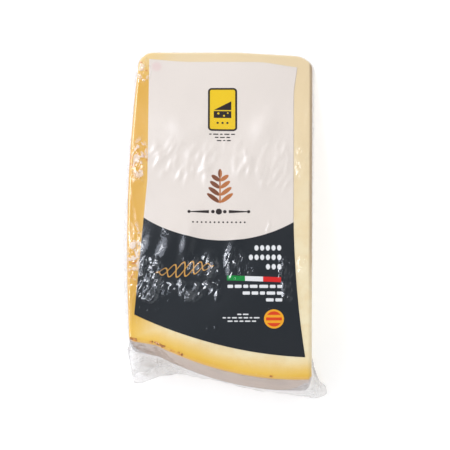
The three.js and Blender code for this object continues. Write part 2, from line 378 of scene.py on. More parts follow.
# The film's folds over the cut face. A crease is a low roof with flat flanks, a billow a soft ridge.
# Each row is a cluster: its middle and reach in x and r, how many, and their mean sizes, slope, lean.
folds = {
    "seed": 11,
    "creases": [
        (-52.5, 84, 3, 12, 14, 4.0, 1.2, 0.3, -16),  # gathered beside the label
        (-44, 153, 6, 8, 10, 5.0, 1.6, 0.26, -26),  # crumples in the dark field
        (-45, 166, 6, 6, 10, 4.5, 1.5, 0.27, -12), (-36, 166, 5, 4, 4, 3.4, 1.3, 0.25, -20),
        (-20, 166, 7, 5, 6, 5.0, 2.6, 0.26, -30), (-9, 165, 6, 5, 5, 3.6, 1.5, 0.25, -30),
        (-12, 151, 9, 6, 10, 4.4, 1.6, 0.26, -34), (-22, 148, 6, 4, 4, 4.0, 1.4, 0.25, -8),
        (6, 149, 6, 8, 7, 6.0, 1.6, 0.23, -6), (15, 151, 4, 4, 3, 3.4, 1.3, 0.25, -20),
        (36, 150, 4, 7, 6, 4.4, 1.3, 0.26, -12), (37, 163, 4, 8, 5, 3.4, 1.2, 0.25, -16),
        (26, 125, 0.5, 2, 1, 5.0, 1.1, 0.25, -24),
        (-55.5, 146, 2.5, 10, 10, 5.0, 1.1, 0.3, -18),  # beside the dark field
        (-56, 166, 2.5, 9, 8, 4.0, 1.1, 0.28, -6), (-55, 112, 3.5, 26, 9, 22.0, 0.9, 0.2, -3),
        (46, 75, 2.5, 7, 5, 2.4, 1.0, 0.3, -20), (45.7, 89.6, 0.6, 1, 3, 2.2, 1.2, 0.3, -20),
        (46.5, 151, 2, 4, 5, 2.0, 1.0, 0.3, -20), (-36, 129, 4.5, 2.5, 4, 2.4, 0.9, 0.28, -20),
        (-42, 177, 10, 6, 9, 1.4, 0.8, 0.28, -10), (-6, 189, 5, 4, 4, 2.2, 0.9, 0.28, -30),
        (49, 40, 2, 16, 3, 16.0, 0.9, 0.24, -8),
        (-51.5, 23, 2, 9, 7, 3.0, 1.2, 0.25, -10),  # bunched at the tip's corner
        (-10, 14, 34, 2, 7, 2.5, 1.1, 0.22, 30), (-8, 212, 40, 5, 9, 3.0, 1.2, 0.22, -50),
    ],
    "billows": [
        (-46.5, 139, 0.5, 1, 1, 18, 6.5, 0.125, -14),  # soft sheets above the crumples in the dark field
        (-34, 139, 0.5, 1, 1, 15, 8.5, 0.165, -22),
        (-22.5, 138, 0.5, 1, 1, 12, 4.2, 0.22, -8),
        (-8, 143, 2, 1, 1, 5, 3.2, 0.16, -40),
        (4, 140, 3, 2, 1, 7, 3.4, 0.16, -24),
        (-26, 82, 20, 11, 44, 4.6, 1.5, 0.12, -24),  # across the pale field
        (20, 80, 20, 11, 38, 4.4, 1.4, 0.12, -14),
        (31, 94, 12, 5, 12, 4.0, 1.2, 0.13, -18),
        (-18, 62, 18, 4, 3, 9, 7, 0.07, -40),
        (24, 60, 14, 6, 3, 9, 7, 0.07, -35),
        (-57, 176, 1, 12, 4, 14, 1.1, 0.2, -2),
        (-55.5, 196, 0.5, 0.5, 1, 2.5, 2.5, 0.25, 0),  # over the rind's crumbs
        (-40, 201, 0.5, 0.5, 1, 2.5, 5, 0.13, 0),
    ],
    # where the film is finely crumpled, cloudy and dull: middle and reach in x and r, and how strongly
    "crumpled": [
        (-44, 155, 7, 10, 0.9), (-45, 166, 7, 7, 0.9), (-34, 165, 6, 5, 0.6), (-20, 166, 7, 6, 0.9),
        (-8, 165, 6, 5, 0.7), (-13, 151, 10, 7, 0.8), (6, 149, 6, 11, 0.5), (17, 152, 5, 5, 0.5),
        (36, 152, 4, 11, 0.45), (37, 166, 3, 7, 0.5), (-53, 84, 5, 13, 0.8), (-56, 152, 3, 17, 0.8),
        (-51, 23, 4, 8, 0.55), (46, 85, 3, 12, 0.6), (46.5, 151, 3, 6, 0.6),
    ],
    "cloudy": [(-51, 22, 5, 9, 0.4), (-52, 82, 5, 14, 0.5), (-54.5, 141, 4, 18, 0.6)],
    "dull": [(0, 84, 300, 40, 1.0)],
    "onRim": {"crumpled": 0.45, "cloudy": 0.0, "dull": 0.0},  # the same over the whole rim wall
    "bellSlope": 0.86,  # the steepest flank of a soft ridge that is one high and one wide
    "onFace": (-3.0, -0.8),  # the film's height under the cut face's plane where folds begin
    "nearRim": (-5.0, -2.5),  # how far in from the rim the rim wall's marks begin
}


def foldList(kind):
    draw = np.random.default_rng(folds["seed"])
    made = []
    for atX, atR, reachX, reachR, count, long, wide, slope, lean in folds[kind]:
        for _ in range(count):
            halfWide = wide * draw.uniform(0.7, 1.3)
            made.append({
                "x": atX + reachX * draw.uniform(-1, 1),
                "r": atR + reachR * draw.uniform(-1, 1),
                "long": long * draw.uniform(0.6, 1.35),
                "wide": halfWide,
                "high": halfWide * slope * draw.uniform(0.7, 1.2),
                "lean": math.radians(lean + draw.normal(0, 11)),
            })
    return made


def foldSides(x, r, fold):  # how far along and across a fold a point lies, in the fold's half sizes
    dx = x - fold["x"]
    dr = r - fold["r"]
    along = dr * math.cos(fold["lean"]) + dx * math.sin(fold["lean"])
    across = dx * math.cos(fold["lean"]) - dr * math.sin(fold["lean"])
    return along / fold["long"], across / fold["wide"]


def foldHeight(x, r, made):
    # the creases wander a little
    bentX = x + 0.35 * np.sin(1.3 * r + 0.7 * x)
    bentR = r + 0.5 * np.sin(1.1 * x - 0.6 * r)
    creased = np.zeros_like(x)
    for fold in made["creases"]:
        along, across = foldSides(bentX, bentR, fold)
        roof = 1.0 - np.abs(across) - np.abs(along) ** 1.5
        creased = np.maximum(creased, fold["high"] * roof)
    billowed = np.zeros_like(x)
    for fold in made["billows"]:
        along, across = foldSides(x, r, fold)
        billowed += fold["high"] / folds["bellSlope"] * np.exp(-(across**2) - along**2)
    return creased + billowed


def clusterShare(x, r, clusters):
    share = np.zeros_like(x)
    for atX, atR, reachX, reachR, strength in clusters:
        away = ((x - atX) / reachX) ** 2 + ((r - atR) / reachR) ** 2
        share = np.maximum(share, strength * eased(away, 1.5, 0.3))
    return share


label = {
    "topLeft": 16.0,
    "topRise": 0.9,
    "cornerLift": 1.8,  # the left upper corner stands up, over this share of the top edge
    "liftOver": (0.28, -0.06),
    "cornerDroop": 3.3,  # the right upper corner hangs down
    "droopOver": (0.72, 1.05),
    "leftUpper": -47.2,
    "leftFlareFrom": 95,
    "leftFlare": 0.077,
    "waistRadius": 122,
    "waist": 41.4,
    "rightTaper": 0.014,
    "rightFlare": 0.00079,
    "cornerFlare": 2.2,
    "cornerFlareOver": (40, 17),
    "footPeak": 207.6,  # the lower edge is a curve that is lowest off to the right
    "footPeakX": 60,
    "footCurve": 241.5,
    "footLeftR": 180,  # where the sides meet the lower edge, roughly
    "footRightR": 200,
    "columns": 151,
    "rows": 261,
    "underFilm": 0.3,  # the film lies this far above the label
    "lift": 0.05,
    "paperShare": 0.9,  # the paper takes this share of the film's folds
    "thickness": 0.12,
}


def labelLeft(r):
    return label["leftUpper"] - label["leftFlare"] * higher(r - label["leftFlareFrom"], 0.0)


def labelRight(r):
    away = r - label["waistRadius"]
    flare = label["cornerFlare"] * eased(r, *label["cornerFlareOver"])
    upperPart = label["rightTaper"] * lower(away, 0.0) - flare
    lowerPart = label["rightFlare"] * higher(away, 0.0) * higher(away, 0.0)
    return label["waist"] - upperPart + lowerPart


def labelTop(share):
    droop = label["cornerDroop"] * eased(share, *label["droopOver"])
    lift = label["cornerLift"] * eased(share, *label["liftOver"])
    return label["topLeft"] + label["topRise"] * share + droop - lift


def labelFoot(x):
    away = x - label["footPeakX"]
    return label["footPeak"] - away * away / (2 * label["footCurve"])


def labelSheet(made, material):
    share, row = np.meshgrid(np.linspace(0, 1, label["columns"]), np.linspace(0, 1, label["rows"]))
    guessX = blend(labelLeft(label["footLeftR"]), labelRight(label["footRightR"]), share)
    r = blend(labelTop(share), labelFoot(guessX), row)
    x = blend(labelLeft(r), labelRight(r), share)
    height = faceHeight(x, r) + label["lift"] + foldHeight(x, r, made) * label["paperShare"]
    places = np.stack(wheelPoint(x, r, wheel["wedgeAngle"], height), axis=-1).reshape(-1, 3)
    faces = [face[::-1] for face in gridFaces(label["rows"], label["columns"], False)]
    return sheetPiece("label_print", places, faces, material, label["thickness"], -1.0)


def newMaterial(name):
    material = bpy.data.materials.new(name)
    material.use_nodes = True
    tree = material.node_tree
    tree.nodes.clear()
    return material, tree, tree.nodes.new("ShaderNodeOutputMaterial").inputs["Surface"]


def crinkleGroup():  # small flat facets that lean one way, as in a crumpled film
    inputs = {"Place": "NodeSocketVector", "Scale": 300.0, "Stretch": 0.4}
    tree, given, end = newTree("crinkle", "ShaderNodeTree", inputs, ("Height", "NodeSocketFloat"))
    x, y, z = splitXyz(given["Place"])
    wander = addNoise(given["Place"], 160.0, Detail=1.0) - 0.5
    leanX, leanY = 0.92, 0.38  # the way that the facets lean
    across = x * leanX - y * leanY + wander * 0.0016
    along = (x * leanY + y * leanX) * given["Stretch"] + wander * 0.0012
    cells = node(
        tree, "ShaderNodeTexVoronoi", {"distance": "MANHATTAN"}, Vector=joinXyz(across, along, z),
        Scale=given["Scale"], Randomness=1.0,
    )
    plug(end, Wire(cells.outputs["Distance"]))
    return tree


crinkle = crinkleGroup()


def objectPlace(tree):
    return source(tree, "ShaderNodeTexCoord", "Object")


def attribute(tree, name):
    return Wire(node(tree, "ShaderNodeAttribute", {"attribute_name": name}).outputs["Fac"])


def mixColour(low, high, share):
    made = node(share.tree, "ShaderNodeMix", {"data_type": "RGBA"})
    for index, value in ((0, share), (6, low), (7, high)):  # the sockets that mix colours
        plug(made.inputs[index], value)
    return Wire(made.outputs[2])


def mixShader(first, second, share):
    made = share.tree.nodes.new("ShaderNodeMixShader")
    for socket, value in zip(made.inputs, (share, first, second)):
        plug(socket, value)
    return made


def bumped(height, strength, distance):
    made = node(height.tree, "ShaderNodeBump", Height=height, Strength=strength, Distance=distance)
    return Wire(made.outputs[0])


def srgb(red, green, blue):  # 0 to 255 as seen, to the linear value that a shader takes
    parts = [value / 255 for value in (red, green, blue)]
    return (*[p / 12.92 if p <= 0.04045 else ((p + 0.055) / 1.055) ** 2.4 for p in parts], 1.0)


def wheelPlace(place):  # x and r in millimetres, from the place on the object
    x, y, z = splitXyz(place)
    fromAxis = wheel["axisY"] - y * 1000.0
    height = z * 1000.0
    return x * 1000.0, root(fromAxis * fromAxis + height * height)


cheese = {
    "paste": srgb(251, 237, 199),
    "pasteShade": srgb(245, 223, 176),
    "tipPaste": srgb(239, 216, 174),
    "gold": srgb(244, 200, 78),
    "deepGold": srgb(232, 172, 54),
    "honey": srgb(227, 174, 66),
    # painted orange tint for light bent through the film's folds
    "bentLightTint": srgb(206, 110, 34),
    "rind": srgb(180, 148, 120),
    "rindMottleAndShade": srgb(156, 122, 92),
    # painted shade for the rounded upper edge of the halving cut, where it turns away from the light
    "paintedEdgeShade": srgb(160, 130, 96),
    "grain": srgb(255, 241, 208),
    # each pair below says where a tone begins and ends, in millimetres
    "goldDepth": (1.5, 16.0),  # in from the rind
    "deepDepth": (-0.5, 4.0),
    "honeyFromFlat": (6.0, 18.0),
    "honeyFromRim": (4.0, 26.0),
    "tipPale": (12.0, 34.0),  # out from the axis
    "tipFade": (20.0, 185.0),
    "edgeShadeMask": (1.0, 2.6),  # painted shade along the halving cut's upper edge: how far in from the cut, and down its wall
    "edgeShadeDown": (1.5, 4.0),
    "edgeShadeFade": (130.0, 180.0),
    "rindDown": (0.9, 1.8),  # the rind keeps off the upper cut face
    "rindDeep": (3.4, 4.2),
    # painted shade: the rind darkens towards the flat face, at the rim wall's left end
    "paintedRindShade": (-55.0, -32.0),
    "bentLightTintAt": ((-53, 80, 11), (-56, 152, 12), (-52, 20, 7)),  # x, r and reach of painted orange tints, where the film's folds bend the light
    "grainSize": 0.55,
    "shape": {
        "Steps Across": 90, "Steps Along": 160, "Steps Up": 40, "Grow": -0.12, "Edge Radius": 1.5,
        "Relief": 0.16, "Relief Scale": 70.0, "Seed": 1.0,
    },
}


def cheeseMaterial():
    material, tree, surface = newMaterial("granaPaste")
    place = objectPlace(tree)
    x, r = wheelPlace(place)
    drift = addNoise(place, 28.0)
    fine = addNoise(place, 1000.0 / cheese["grainSize"] / 2, Roughness=0.7)
    cloud = addNoise(place, 90.0, Detail=5.0, Roughness=0.65)
    fromRim = rimRadiusAt(x) - r
    fromFlat = x - flatFaceAt(r)
    depth = lower(fromRim, fromFlat * 0.6) + (drift - 0.5) * 5.0
    pastTip = eased(r, *cheese["tipPale"])  # the tip's end stays pale
    golden = (1.0 - eased(depth, *cheese["goldDepth"])) * (pastTip * 0.6 + 0.4)
    deep = (1.0 - eased(depth + (cloud - 0.5) * 4.0, *cheese["deepDepth"])) * pastTip
    colour = mixColour(cheese["paste"], cheese["pasteShade"], eased(cloud, 0.35, 0.7))
    colour = mixColour(cheese["tipPaste"], colour, eased(r, *cheese["tipFade"]))
    colour = mixColour(colour, cheese["gold"], golden)
    colour = mixColour(colour, cheese["deepGold"], deep * 0.5)
    besideRind = 1.0 - eased(fromFlat + (drift - 0.5) * 5.0, *cheese["honeyFromFlat"])
    besideRind = besideRind * eased(fromRim, *cheese["honeyFromRim"])
    colour = mixColour(colour, cheese["honey"], besideRind * pastTip * 0.85)
    # painted orange tints that stand in for light bent through the film's folds beside the rind
    tintSpots = eased(addNoise(place, 420.0, Detail=1.0), 0.6, 0.68)
    for atX, atR, reach in cheese["bentLightTintAt"]:
        near = eased(discDistance(x, r, atX, atR, 0.0), reach, reach * 0.5)
        colour = mixColour(colour, cheese["bentLightTint"], near * tintSpots * 0.7)
    # painted shade along the halving cut's upper edge, where the rounded edge turns from the light; it fades
    # down the wall and towards the rim
    edgeShadeMask = 1.0 - eased(halvingCutAt(r) - x + (cloud - 0.5) * 0.8, *cheese["edgeShadeMask"])
    height = splitXyz(place)[2] * 1000.0
    below = r * math.sin(wheel["wedgeAngle"]) - height
    onWall = eased(below, *cheese["rindDown"]) * (1.0 - eased(lower(fromRim, fromFlat), *cheese["rindDeep"]))
    edgeShadeMask = edgeShadeMask * (1.0 - eased(below, *cheese["edgeShadeDown"]))
    edgeShadeMask = edgeShadeMask * (1.0 - eased(r, *cheese["edgeShadeFade"]) * 0.75)
    colour = mixColour(colour, cheese["paintedEdgeShade"], edgeShadeMask * 0.8)
    # the rind's darker tone is partly random mottling and partly painted shade towards the flat face
    weathered = eased(cloud + (drift - 0.5) * 0.8, 0.42, 0.7)
    shadedNearFlat = 1.0 - eased(x, *cheese["paintedRindShade"])
    rind = mixColour(cheese["rind"], cheese["rindMottleAndShade"], lower(weathered * 0.7 + shadedNearFlat * 0.6, 1.0))
    colour = mixColour(colour, rind, onWall)
    colour = mixColour(colour, cheese["grain"], eased(fine, 0.62, 0.75) * 0.35)
    shader = node(
        tree, "ShaderNodeBsdfPrincipled", Base_Color=colour, Roughness=0.5,
        Normal=bumped(fine * 0.5 + cloud, 0.35, 0.0004),
    )
    plug(surface, shader)
    return material


# Crumbs of rind caught under the film at the rim's edge: where along x, how far they spread there,
# how far in from the rim, and how many.
crumbs = {
    "seed": 5,
    "clusters": ((-54.0, 1.9, 0.6, 8), (-40, 4.0, 0.7, 18), (27, 0.5, 0.9, 2), (-28, 3.6, 0.7, 7)),
    "scatter": 0.9,
    "halfWidth": 0.78,
    "halfHeight": 0.36,
    "narrow": 0.7,  # the other half width, as a share
    "lumpScale": 1.6,
    "lumpDepth": 0.45,
    "dark": srgb(150, 88, 26),
    "light": srgb(238, 166, 66),
}


def crumbMaterial():
    material, tree, surface = newMaterial("rindCrumb")
    place = objectPlace(tree)
    tone = eased(addNoise(place, 600.0), 0.35, 0.65)
    colour = mixColour(crumbs["dark"], crumbs["light"], tone)
    normal = bumped(addNoise(place, 2500.0), 0.5, 0.0003)
    shader = node(tree, "ShaderNodeBsdfPrincipled", Base_Color=colour, Roughness=0.6, Normal=normal)
    plug(surface, shader)
    return material


def crumbPiece(material):
    draw = np.random.default_rng(crumbs["seed"])
    made = bmesh.new()
    for middle, spread, inset, count in crumbs["clusters"]:
        for _ in range(count):
            x = middle + spread * draw.uniform(-1, 1)
            r = rimRadiusAt(x) - inset - draw.uniform(0, crumbs["scatter"])
            at = Vector(wheelPoint(x, r, wheel["wedgeAngle"], faceHeight(x, r) + 0.1))
            grow = draw.uniform(0.6, 1.3)
            wide, high = crumbs["halfWidth"] * grow, crumbs["halfHeight"] * grow
            lie = Matrix.Translation(at) @ Matrix.Rotation(-wheel["wedgeAngle"], 4, "X")
            lie = lie @ Matrix.Rotation(draw.uniform(0, 3.1), 4, "Z")
            lie = lie @ Matrix.Diagonal((wide, wide * crumbs["narrow"], high, 1))
            corners = bmesh.ops.create_icosphere(made, subdivisions=2, radius=1.0)["verts"]
            for corner in corners:
                bump = noise.noise(corner.co * crumbs["lumpScale"] + Vector((x, r, 0.0)))
                corner.co = lie @ (corner.co * (1.0 + crumbs["lumpDepth"] * bump))
    bmesh.ops.scale(made, vec=(mm, mm, mm), verts=made.verts)
    mesh = bpy.data.meshes.new("rind_crumbs")
    made.to_mesh(mesh)
    made.free()
    mesh.materials.append(material)
    return placed("rind_crumbs", mesh)


film = {
    "glossColour": (0.91, 0.94, 1.0, 1.0),
    "glossRoughness": 0.13,
    "dullRoughness": 0.11,  # added where the film is dull
    "shine": 1.7,  # both faces of the film reflect
    "wallStretch": 0.25,  # marks run down the walls
    "crinkleStretch": 0.65,
    "steepScale": 130.0,
    "slowScale": 26.0,
    "bump": 0.0009,
    "shape": {
        "Steps Across": 145, "Steps Along": 266, "Steps Up": 24, "Grow": 0.1, "Edge Radius": 1.7,
        "Relief": 0.16, "Relief Scale": 110.0, "Folds": 0.4, "Seed": 4.0,
    },
    "tight": {
        "clarity": (0.985, 0.987, 0.99, 1.0), "milk": (0.97, 0.93, 0.9, 1.0),
        "shineMost": 0.22, "crumple": 0.0, "haze": 0.0, "crinkleScale": 320.0, "patchScale": 240.0,
    },
    "loose": {
        "clarity": (0.94, 0.93, 0.92, 1.0), "milk": (0.84, 0.82, 0.8, 1.0),
        "shineMost": 0.18, "crumple": 0.65, "haze": 0.29, "crinkleScale": 130.0, "patchScale": 70.0,
    },
}


def filmMaterial(name, finish):
    material, tree, surface = newMaterial(name)
    x, y, z = splitXyz(objectPlace(tree))
    place = joinXyz(x, y, z * film["wallStretch"])
    gathered = attribute(tree, "crumpled") + finish["crumple"]
    facets = node(
        tree, "ShaderNodeGroup", {"node_tree": crinkle}, Place=place, Scale=finish["crinkleScale"],
        Stretch=film["crinkleStretch"],
    )
    steep = 0.55 + eased(addNoise(place, film["steepScale"], Detail=1.0), 0.35, 0.65) * 0.7
    slow = addNoise(place, film["slowScale"], Detail=1.0, Distortion=0.3)
    normal = bumped(Wire(facets.outputs[0]) * steep * gathered + slow, 0.8, film["bump"])
    clear = node(tree, "ShaderNodeBsdfTransparent", Color=finish["clarity"])
    gloss = node(
        tree, "ShaderNodeBsdfAnisotropic", Color=film["glossColour"],
        Roughness=attribute(tree, "dull") * film["dullRoughness"] + film["glossRoughness"], Normal=normal,
    )
    fresnel = Wire(node(tree, "ShaderNodeFresnel", IOR=1.5, Normal=normal).outputs[0])
    glossy = mixShader(clear, gloss, lower(fresnel * film["shine"], finish["shineMost"]))
    milk = node(tree, "ShaderNodeBsdfDiffuse", Color=finish["milk"], Normal=normal)
    patches = eased(addNoise(place, finish["patchScale"], Detail=2.0, Distortion=0.6), 0.47, 0.6)
    looseHaze = attribute(tree, "loose") * finish["haze"] * (0.5 + patches * 0.9)
    veil = attribute(tree, "cloudy") * patches + looseHaze
    veiled = mixShader(glossy, milk, lower(veil, 0.8))
    plug(surface, veiled)
    return material


ink = {
    "white": srgb(239, 229, 220), "whiteShade": srgb(234, 224, 215), "blush": srgb(234, 206, 202),
    "black": srgb(34, 41, 46), "brownBlack": srgb(34, 34, 36), "brown": srgb(44, 34, 30),
    "yellow": srgb(244, 206, 34), "copper": srgb(190, 116, 60), "darkCopper": srgb(128, 70, 34),
    "gold": srgb(222, 168, 84), "green": srgb(20, 146, 62), "red": srgb(226, 38, 34),
    "amber": srgb(250, 178, 36), "orange": srgb(228, 74, 24), "snow": srgb(240, 240, 240),
}


def inside(distance):  # 1 where a distance to an edge is below 0
    return eased(distance, 0.12, -0.12)


def sum2(one, other):
    return one * one + other * other


def discDistance(x, r, atX, atR, radius):
    return root(sum2(x - atX, r - atR)) - radius


def barDistance(x, r, left, right, top, bottom):
    across = absolute(x - (left + right) / 2) - (right - left) / 2
    along = absolute(r - (top + bottom) / 2) - (bottom - top) / 2
    return higher(higher(across, along), (across + along) * 0.7 + 0.25)  # with its corners taken off


def leafDistance(x, r, atX, atR, turn, long, wide):  # below 0 inside an oval leaf
    dx = x - atX
    dr = r - atR
    along = (dx * math.cos(turn) + dr * math.sin(turn)) / long
    across = (dr * math.cos(turn) - dx * math.sin(turn)) / wide
    return (root(sum2(along, across)) - 1.0) * wide


def painted(colour, paint, distance):
    return mixColour(colour, ink[paint], inside(distance))


def tile(x, r, colour):  # a yellow tile with a dark frame and a plain cut of cheese on it
    at = {"x": -1.5, "r": 48.6, "halfWidth": 6.6, "halfHeight": 12.0, "corner": 2.4}
    dx = x - at["x"]
    dr = r - at["r"]
    outX = higher(absolute(dx) - at["halfWidth"], 0.0)
    outR = higher(absolute(dr) - at["halfHeight"], 0.0)
    edge = root(sum2(outX, outR) + 0.0001) - at["corner"]
    colour = painted(colour, "brown", edge)
    colour = painted(colour, "yellow", edge + 1.2)
    half = 5.4  # half the cut's width
    topFace = higher(higher(dr - 0.4, 0.4 - dr - (dx + half) * 0.55), dx - half)
    colour = painted(colour, "brown", topFace)
    front = higher(absolute(dx) - half, absolute(dr - 3.4) - 2.3)
    for atX, atR, radius in ((-2.6, 2.7, 0.7), (0.9, 4.2, 0.6), (3.2, 2.4, 0.5)):
        front = higher(front, 0.0 - discDistance(dx, dr, atX, atR, radius))
    colour = painted(colour, "brown", front)
    for atX in (-3.0, 0.0, 3.0):
        colour = painted(colour, "brown", discDistance(dx, dr, atX, 9.0, 0.7))
    return colour


def sprig(x, r, colour):  # a copper sprig of paired leaves, darker on one side
    at = {"x": -3.0, "top": 92.5, "pitch": 4.3, "pairs": 4}
    side = absolute(x - at["x"])
    shape = lower(
        leafDistance(x, r, at["x"], at["top"] - 1.4, 1.571, 2.9, 1.2),
        barDistance(side, r, -0.45, 0.45, at["top"], 110.5),
    )
    for pair in range(at["pairs"]):
        span = 3.1 + 0.55 * pair
        middle = at["top"] + 1.6 + at["pitch"] * pair
        shape = lower(shape, leafDistance(side, r, span * 0.85, middle, math.radians(-38), span, 1.35))
    colour = painted(colour, "copper", shape)
    return painted(colour, "darkCopper", higher(shape, x - at["x"] + 0.4 + (r - 100.0) * 0.05))


def divider(x, r, colour):  # three dark beads between tapering rules, over a row of dots
    at = {"x": -3.7, "r": 115.8, "ruleFrom": 6.0, "ruleTo": 17.5, "dotsR": 122.6, "dotPitch": 2.6}
    dx = absolute(x - at["x"])
    dr = absolute(r - at["r"])
    beads = lower(discDistance(dx, dr, 0.0, 0.0, 1.9), discDistance(dx, dr, 3.6, 0.0, 1.1))
    taper = dr - 1.0 + (dx - at["ruleFrom"]) * 0.06
    rule = higher(taper, higher(dx - at["ruleTo"], at["ruleFrom"] - dx))
    tipBead = discDistance(dx, dr, at["ruleTo"] + 0.5, 0.0, 1.0)
    colour = painted(colour, "brown", lower(lower(beads, rule), tipBead))
    for dot in range(7):
        spot = discDistance(dx, r, at["dotPitch"] * dot, at["dotsR"], 0.55)
        colour = painted(colour, "brown", spot)
    return colour


def swash(x, r, colour):  # two thin gold waves that cross and lean, fading to points
    at = {"x": -24.0, "r": 152.6, "half": 17.5, "end": 17.3, "fall": 0.12, "lean": 0.45, "high": 4.4}
    level = r - at["r"] + (x - at["x"]) * at["fall"]
    along = x - at["x"] + level * at["lean"]
    away = along / at["half"]
    swell = higher(1.0 - away * away, 0.0)
    turn = along * 0.6
    for high in (at["high"], -at["high"]):
        slope = 1.0 + absolute(cosine(turn)) * swell * 1.6
        line = absolute(level - sine(turn) * swell * high) / slope - 0.12 - swell * 0.22
        colour = painted(colour, "gold", higher(line, absolute(away) * at["half"] - at["end"]))
    return colour


def beadRows(x, r, colour):  # rows of white oval beads, lined up on the right
    rows = {"right": 34.2, "first": 139.0, "pitch": 6.0, "step": 3.4, "wide": 1.25, "high": 1.75}
    place = (rows["right"] - x) / rows["step"]
    cell = mathNode("FRACT", place) - 0.5
    for index, count in enumerate((5, 6, 3)):
        dr = r - (rows["first"] + rows["pitch"] * index)
        edge = (root(sum2(cell * (rows["step"] / rows["wide"]), dr / rows["high"])) - 1.0) * rows["wide"]
        edge = higher(edge, higher(0.0 - place, place - float(count)))
        colour = painted(colour, "snow", edge)
    return colour


def barRows(x, r, colour, paint, seed, rows):  # rows of short plain bars
    draw = np.random.default_rng(seed)
    for index, length in enumerate(rows["lengths"]):
        top = rows["top"] + index * rows["pitch"]
        right = rows["right"] if "right" in rows else rows["middle"] + length / 2
        left = right - length
        row = None
        while right - left > rows["shortest"]:
            width = min(right - left, draw.uniform(rows["shortest"], rows["longest"]))
            bar = barDistance(x, r, right - width, right, top, top + rows["height"])
            row = bar if row is None else lower(row, bar)
            right -= width + rows["gap"]
        colour = painted(colour, paint, row)
    return colour


smallBars = {"pitch": 2.1, "shortest": 1.6, "longest": 3.6, "gap": 0.7}
largeBars = {"pitch": 4.2, "shortest": 2.6, "longest": 6.0, "gap": 1.0}
barSets = [  # paint, seed and sizes
    ("brown", 1, {**smallBars, "lengths": (16, 10, 11), "top": 64.8, "height": 0.75, "middle": -1.8}),
    ("snow", 3, {**largeBars, "lengths": (32.5, 24, 12.5), "top": 162.4, "height": 2.0, "right": 34.0}),
    ("snow", 4, {**smallBars, "lengths": (9, 22, 18), "top": 180.4, "height": 0.8, "middle": 9.5}),
]


def stripe(x, r, colour):  # a slightly tilted stripe of three colours
    at = {"left": 1.2, "third": 10.75, "r": 158.05, "halfHigh": 1.55, "tilt": 0.035}
    level = r - (x - at["left"]) * at["tilt"]
    inLevel = absolute(level - at["r"]) - at["halfHigh"]
    for index, paint in enumerate(("green", "snow", "red")):
        middle = at["left"] + at["third"] * (index + 0.5)
        colour = painted(colour, paint, higher(absolute(x - middle) - at["third"] / 2, inLevel))
    return colour


def roundel(x, r, colour):  # an orange disc in an amber one, with two amber bands across it
    at = {"x": 29.0, "r": 183.6, "radius": 5.9, "inner": 4.7, "band": 0.75, "apart": 1.7}
    dr = r - at["r"]
    reach = root(sum2(x - at["x"], dr))
    colour = painted(colour, "amber", reach - at["radius"])
    colour = painted(colour, "orange", reach - at["inner"])
    bands = absolute(absolute(dr) - at["apart"]) - at["band"]
    return painted(colour, "amber", higher(bands, reach - at["inner"]))


fields = {"arc": (-1.5, 49.2, 85.0), "blush": (-42.5, 19.5, 0.0)}  # x, r and radius


def labelMaterial():
    material, tree, surface = newMaterial("labelPrint")
    place = objectPlace(tree)
    x, y, z = splitXyz(place)
    tilt = wheel["wedgeAngle"]
    r = y * (-1000.0 * math.cos(tilt)) + z * (1000.0 * math.sin(tilt)) + wheel["axisY"] * math.cos(tilt)
    x = x * 1000.0
    mottling = addNoise(place, 40.0, Detail=2.0)
    colour = mixColour(ink["white"], ink["whiteShade"], mottling)
    blush = eased(discDistance(x, r, *fields["blush"]), 4.5, 1.5) * 0.6
    colour = mixColour(colour, ink["blush"], blush)
    arc = discDistance(x, r, *fields["arc"])
    edge = higher(arc * -1.0, 100.0 - r)  # below a hanging arc
    darkTone = mixColour(ink["black"], ink["brownBlack"], addNoise(place, 14.0))
    colour = mixColour(colour, darkTone, inside(edge))
    for motif in (tile, sprig, divider, swash, beadRows, stripe, roundel):
        colour = motif(x, r, colour)
    for bars in barSets:
        colour = barRows(x, r, colour, *bars)
    fibres = addNoise(place, 900.0, Detail=2.0)
    shader = node(
        tree, "ShaderNodeBsdfPrincipled", Base_Color=colour, Roughness=0.5, Specular_IOR_Level=0.15,
        Normal=bumped(mottling * 0.6 + fibres * 0.05, 0.25, 0.0008),
    )
    plug(surface, shader)
    return material


